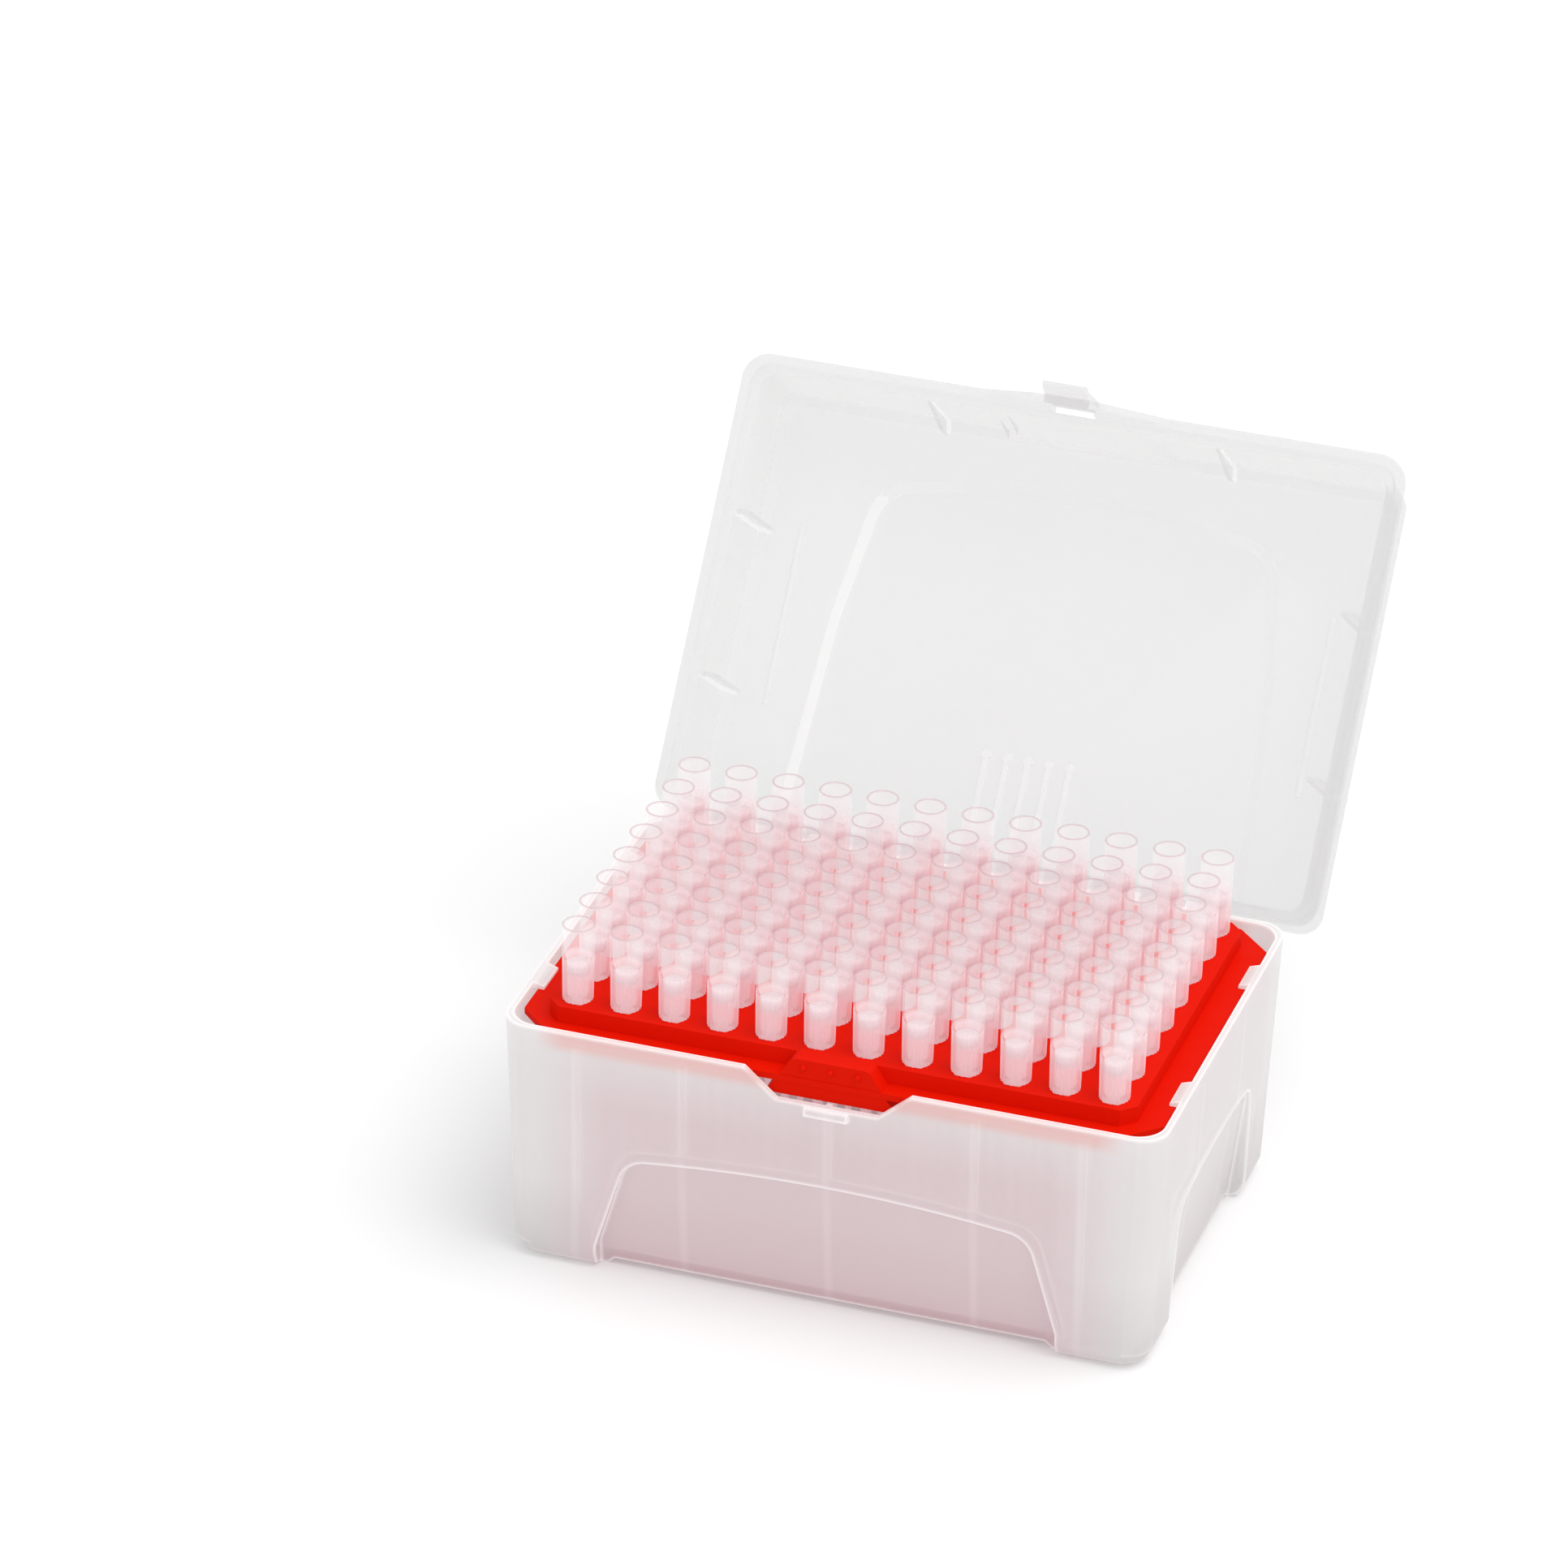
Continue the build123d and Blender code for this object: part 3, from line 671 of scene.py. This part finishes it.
class TIPBOX_OT_lid(bpy.types.Operator):
    """Finish the clear lid"""
    bl_idname = "tipbox.lid"
    bl_label = "Lid"

    def execute(self, context):
        piece = moulding("lid", "lid_moulding", lid_plastic(context.scene.tipbox_looks))
        self.mark_highlit(piece.data)
        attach(piece, "lid")
        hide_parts("lid")
        return {"FINISHED"}

    def mark_highlit(self, mesh):
        """Writes on each face how much painted highlight it gets: 0 on a plain wall."""
        panel = max(mesh.polygons, key=lambda face: face.area).normal
        along = panel.cross(Vector((1.0, 0.0, 0.0))).normalized()
        reach = [vertex.co.dot(along) for vertex in mesh.vertices]
        margin = 8 * MM
        low, high = min(reach) + margin, max(reach) - margin
        marks = mesh.attributes.new(HIGHLIT, "FLOAT", "FACE")
        for face, mark in zip(mesh.polygons, marks.data):
            inside = low < face.center.dot(along) < high
            mark.value = self.thickness(face, panel, along, inside)

    def thickness(self, face, panel, along, inside):
        """Painted highlight above 0 on the slope round the field, the bars and the strips; below 0 on the
        locating ribs, which get less haze so that their shaded faces show less.
        """
        side, sideways, lengthways = abs(face.center.x), abs(face.normal.x), abs(face.normal.dot(along))
        tilt = math.degrees(math.acos(min(1.0, abs(face.normal.dot(panel)))))
        if inside and side < FIELD_X and FIELD_TILT[0] < tilt < FIELD_TILT[1]:
            # The left leg of the slope gets the stronger painted highlight, as if lit from the right.
            return 0.6 if face.center.x < 0 and sideways > 0.3 else 0.2
        if face.area >= RIB_FACE:
            return 0.0
        if inside and side < BARS_X:
            return 1.5 if sideways > 0.9 else 0.5
        if inside and abs(side - STRIP_X) < STRIP_HALF:
            return 0.3
        on_front = abs(side - FRONT_LOCATOR_X) < STRIP_HALF and sideways > 0.97
        on_side = SIDE_LOCATOR_X[0] < side < SIDE_LOCATOR_X[1] and lengthways > 0.97
        return -2.0 if on_front or (inside and on_side) else 0.0


class TIPBOX_OT_tips(bpy.types.Operator):
    """Make the ribbed tips, column by column"""
    bl_idname = "tipbox.tips"
    bl_label = "Tips"

    def execute(self, context):
        sizes = context.scene.tipbox_tip
        material = tip_plastic(context.scene.tipbox_looks, sizes)
        for node in COLUMNS:
            low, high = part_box(node)
            rows = rows_between(low, high, sizes.pitch)
            middle = Vector(((low.x + high.x) / 2, (low.y + high.y) / 2, high.z))
            piece = grid_of(tip_mesh(sizes), node + "_fine", 1, rows, sizes.pitch, middle, material)
            smooth(piece, 34.0)
            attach(piece, "box")
            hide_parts(node)
        return {"FINISHED"}


class TIPBOX_OT_filters(bpy.types.Operator):
    """Make the white filter plugs"""
    bl_idname = "tipbox.filters"
    bl_label = "Filters"

    def execute(self, context):
        sizes = context.scene.tipbox_tip
        low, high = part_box(PLUGS[0])
        rows = rows_between(low, high, sizes.pitch)
        middle = Vector((0.0, (low.y + high.y) / 2, low.z))
        slack = 0.03 * MM
        mesh = plug_mesh(sizes.bore_low_d / 2 - slack, high.z - low.z)
        piece = grid_of(mesh, "filter_plugs", len(PLUGS), rows, sizes.pitch, middle,
                        filter_foam(context.scene.tipbox_looks))
        smooth(piece, 50.0)
        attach(piece, "box")
        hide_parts(*PLUGS)
        return {"FINISHED"}


class TIPBOX_OT_stage(bpy.types.Operator):
    """Set the floor, the lights and the camera"""
    bl_idname = "tipbox.stage"
    bl_label = "Stage"

    def execute(self, context):
        looks, view = context.scene.tipbox_looks, context.scene.tipbox_view
        self.floor(bench(looks))
        self.world(context.scene)
        self.lamp("key", place=(0.45, -0.05, 1.0), spread=45.0, power=1.3)
        self.lamp("fill", place=(0.1, -1.0, 0.5), spread=90.0, power=0.35)
        self.camera(context.scene, view)
        context.scene.view_settings.view_transform = "Standard"
        return {"FINISHED"}

    def floor(self, material):
        mesh = bpy.data.meshes.new("floor")
        quarters = ((-1, -1), (1, -1), (1, 1), (-1, 1))
        corners = [(x * FLOOR_REACH, y * FLOOR_REACH, 0.0) for x, y in quarters]
        mesh.from_pydata(corners, [], [(0, 1, 2, 3)])
        to_scene(mesh, "floor", material)

    def world(self, scene):
        """An even grey room for the light, seen as white."""
        room = Look(bpy.data.worlds.new("studio"), "ShaderNodeOutputWorld")
        grey, white = (room.node("ShaderNodeBackground", None, rgba([level] * 3)).outputs[0]
                       for level in (ROOM_GREY, 1.0))
        scene.world = room.finish(room.mix(seen_directly(room), grey, white))

    def lamp(self, name, place, spread, power):
        """A broad, even light that comes from a place, with its spread in degrees."""
        data = bpy.data.lights.new(name, "SUN")
        data.angle, data.energy = math.radians(spread), power
        lamp = bpy.data.objects.new(name, data)
        bpy.context.scene.collection.objects.link(lamp)
        aim = Vector((0.0, GRID_Y, base_high.z)) - Vector(place)
        lamp.location = place
        lamp.rotation_euler = aim.to_track_quat("-Z", "Y").to_euler()

    def camera(self, scene, view):
        """A long lens that aims near the middle tip rim."""
        a, e = view.azimuth, view.elevation
        back = Vector((math.sin(a) * math.cos(e), -math.cos(a) * math.cos(e), math.sin(e)))
        level = Vector((math.cos(a), math.sin(a), 0.0))
        upright = back.cross(level)
        right = math.cos(view.roll) * level + math.sin(view.roll) * upright
        up = -math.sin(view.roll) * level + math.cos(view.roll) * upright
        aim = Vector((0.0, GRID_Y, RIM_Z)) + view.aim_right * right + view.aim_up * up
        data = bpy.data.cameras.new("camera")
        data.sensor_width, data.lens, data.clip_end = 36.0, view.lens, 20.0
        camera = bpy.data.objects.new("camera", data)
        scene.collection.objects.link(camera)
        turn = Matrix((right, up, back)).transposed().to_4x4()
        camera.matrix_world = Matrix.Translation(aim + view.distance * back) @ turn
        scene.camera = camera


class TIPBOX_PT_panel(bpy.types.Panel):
    """Lists the operators and sizes of the tip box"""
    bl_idname = "TIPBOX_PT_panel"
    bl_label = "Tip Box"
    bl_space_type = "VIEW_3D"
    bl_region_type = "UI"
    bl_category = "Tip Box"

    def draw(self, context):
        for operator in OPERATORS:
            self.layout.operator(operator.bl_idname)
        for group in (context.scene.tipbox_tip, context.scene.tipbox_looks, context.scene.tipbox_view):
            box = self.layout.box()
            for prop in group.bl_rna.properties:
                if prop.identifier not in ("rna_type", "name"):
                    box.prop(group, prop.identifier)


GROUPS = {"tipbox_tip": TipSizes, "tipbox_looks": PlasticLooks, "tipbox_view": ViewSettings}
OPERATORS = (TIPBOX_OT_base, TIPBOX_OT_tray, TIPBOX_OT_lid, TIPBOX_OT_tips, TIPBOX_OT_filters,
             TIPBOX_OT_stage)


def register():
    for cls in (*GROUPS.values(), *OPERATORS, TIPBOX_PT_panel):
        bpy.utils.register_class(cls)
    for name, group in GROUPS.items():
        setattr(bpy.types.Scene, name, PointerProperty(type=group))


def unregister():
    for name in GROUPS:
        delattr(bpy.types.Scene, name)
    for cls in (TIPBOX_PT_panel, *reversed(OPERATORS), *reversed(GROUPS.values())):
        bpy.utils.unregister_class(cls)


def main():
    register()
    for operator in OPERATORS:
        getattr(bpy.ops.tipbox, operator.bl_idname.split(".")[1])()


if __name__ == "__main__":
    main()
